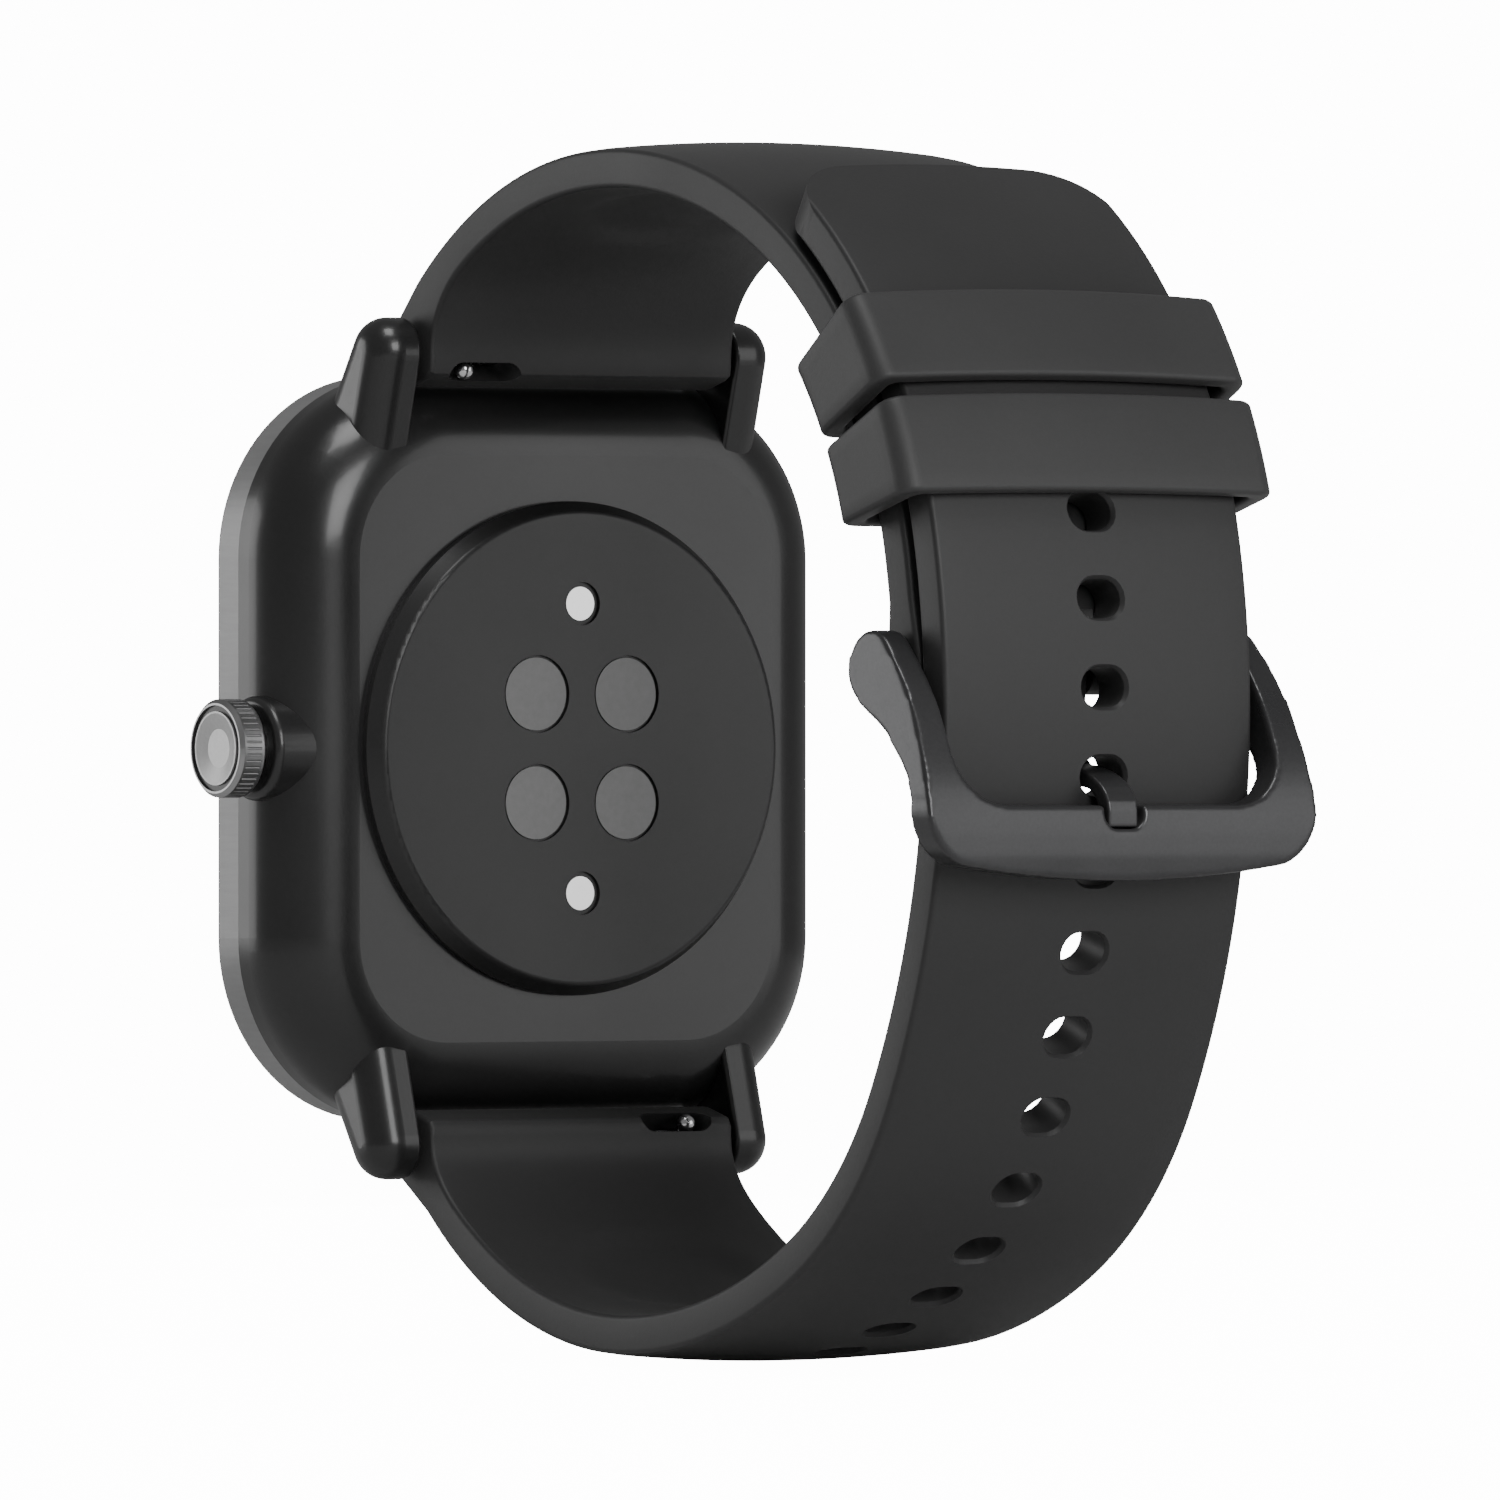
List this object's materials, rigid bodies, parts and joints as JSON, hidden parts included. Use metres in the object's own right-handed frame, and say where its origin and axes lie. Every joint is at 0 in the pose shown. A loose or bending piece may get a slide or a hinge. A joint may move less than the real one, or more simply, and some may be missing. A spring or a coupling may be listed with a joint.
{
  "type": "smartwatch",
  "caption": "Square wrist smartwatch with side crown, rear sensor disc and a buckled rubber strap with two keepers.",
  "frame": {"origin": "centre of the sensor disc's flat face on the case back, which rests on the wrist", "axes": "+X towards the crown, +Y out of the case back into the strap loop, +Z towards 12 o'clock"},
  "size_m": [0.0385, 0.0591, 0.0651],
  "materials": {
    "case_black": "satin black",
    "bezel_grey": "satin grey",
    "glass": "polished",
    "display_black": "gloss",
    "adhesive": "matt",
    "flex_film": "satin",
    "frame_steel": "brushed",
    "screw_steel": "bright",
    "battery_foil": "satin foil",
    "board_green": "satin solder mask",
    "chip_black": "matt",
    "can_steel": "satin",
    "rotor_steel": "machined",
    "gasket_black": "matt",
    "sensor_cover_black": "satin",
    "sensor_window_grey": "gloss",
    "contact_white": "polished",
    "magnet_nickel": "plated",
    "crown_steel": "satin",
    "crown_dish": "spun satin",
    "crown_ring_black": "gloss",
    "stem_steel": "satin",
    "strap_rubber": "matt silicone",
    "keeper_rubber": "matt silicone",
    "bar_steel": "polished",
    "spring_steel": "satin",
    "buckle_gunmetal": "satin gunmetal",
    "tang_gunmetal": "satin gunmetal"
  },
  "bodies": {
    "case": {"case_body": "case_black", "front_gasket": "gasket_black", "front_bezel": "bezel_grey", "cover_glass": "glass", "display_adhesive": "adhesive", "display_panel": "display_black", "display_flex": "flex_film", "inner_frame": "frame_steel", "frame_screws": "screw_steel", "battery": "battery_foil", "battery_flex": "flex_film", "main_pcb": "board_green", "pcb_chips": "chip_black", "shield_can": "can_steel", "vibration_motor_can": "can_steel", "sensor_cover": "sensor_cover_black", "sensor_glue": "adhesive", "sensor_windows": "sensor_window_grey", "charging_contacts": "contact_white", "charging_magnets": "magnet_nickel", "optical_barrier": "gasket_black", "optical_chips": "chip_black", "sensor_pcb": "board_green", "crown_tube": "stem_steel", "crown_switch": "chip_black", "long_strap": "strap_rubber", "lower_bar_tube": "bar_steel", "upper_bar_tube": "bar_steel", "lower_bar_spring": "spring_steel", "upper_bar_spring": "spring_steel"},
    "motor_rotor": {"vibration_rotor": "rotor_steel"},
    "crown_plunger": {"switch_plunger": "stem_steel"},
    "crown": {"crown_head": "crown_steel", "crown_inlay": "crown_dish", "crown_ring": "crown_ring_black", "crown_stem": "stem_steel", "crown_snap_ring": "spring_steel", "crown_seal": "gasket_black"},
    "upper_bar_slider": {"upper_bar_tip": "bar_steel"},
    "lower_bar_slider": {"lower_bar_tip": "bar_steel"},
    "short_band": {"short_strap": "strap_rubber", "buckle_pin": "stem_steel"},
    "loop_low": {"lower_keeper": "keeper_rubber"},
    "loop_high": {"upper_keeper": "keeper_rubber"},
    "buckle": {"buckle_frame": "buckle_gunmetal"},
    "tang": {"buckle_tang": "tang_gunmetal"}
  },
  "joints": [
    {"name": "crown_press", "type": "slide", "parent": "case", "child": "crown_plunger", "axis": [-1, 0, 0], "range_m": [0, 0.0004], "stiffness_N_per_m": 2500, "springref_m": -0.0004},
    {"name": "crown_turn", "type": "hinge", "parent": "crown_plunger", "child": "crown", "pos_m": [0, -0.0049, 0], "axis": [1, 0, 0], "continuous": true},
    {"name": "motor_spin", "type": "hinge", "parent": "case", "child": "motor_rotor", "pos_m": [0.0087, -0.0046, 0.0086], "axis": [0, 1, 0], "continuous": true},
    {"name": "upper_bar_release", "type": "slide", "parent": "case", "child": "upper_bar_slider", "axis": [-1, 0, 0], "range_m": [0, 0.0013], "stiffness_N_per_m": 900, "springref_m": -0.001, "deforming": ["upper_bar_spring"]},
    {"name": "lower_bar_release", "type": "slide", "parent": "case", "child": "lower_bar_slider", "axis": [1, 0, 0], "range_m": [0, 0.0013], "stiffness_N_per_m": 900, "springref_m": -0.001, "deforming": ["lower_bar_spring"]},
    {"name": "band_flex", "type": "hinge", "parent": "case", "child": "short_band", "pos_m": [0, -0.0023, 0.0215], "axis": [1, 0, 0], "range_deg": [-3, 3], "stiffness_Nm_per_rad": 0.6, "deforming": ["long_strap"]},
    {"name": "buckle_swing", "type": "hinge", "parent": "short_band", "child": "buckle", "pos_m": [0, 0.044, 0.0042], "axis": [1, 0, 0], "range_deg": [-1, 2.5]},
    {"name": "tang_swing", "type": "hinge", "parent": "buckle", "child": "tang", "pos_m": [0, 0.044, 0.0042], "axis": [1, 0, 0], "range_deg": [0, 1.5]},
    {"name": "lower_keeper_slide", "type": "hinge", "parent": "short_band", "child": "loop_low", "pos_m": [0, 0.0183, 0.0051], "axis": [1, 0, 0], "range_deg": [-4, 0]},
    {"name": "upper_keeper_slide", "type": "hinge", "parent": "short_band", "child": "loop_high", "pos_m": [0, 0.0183, 0.0051], "axis": [1, 0, 0], "range_deg": [0, 8]}
  ]
}
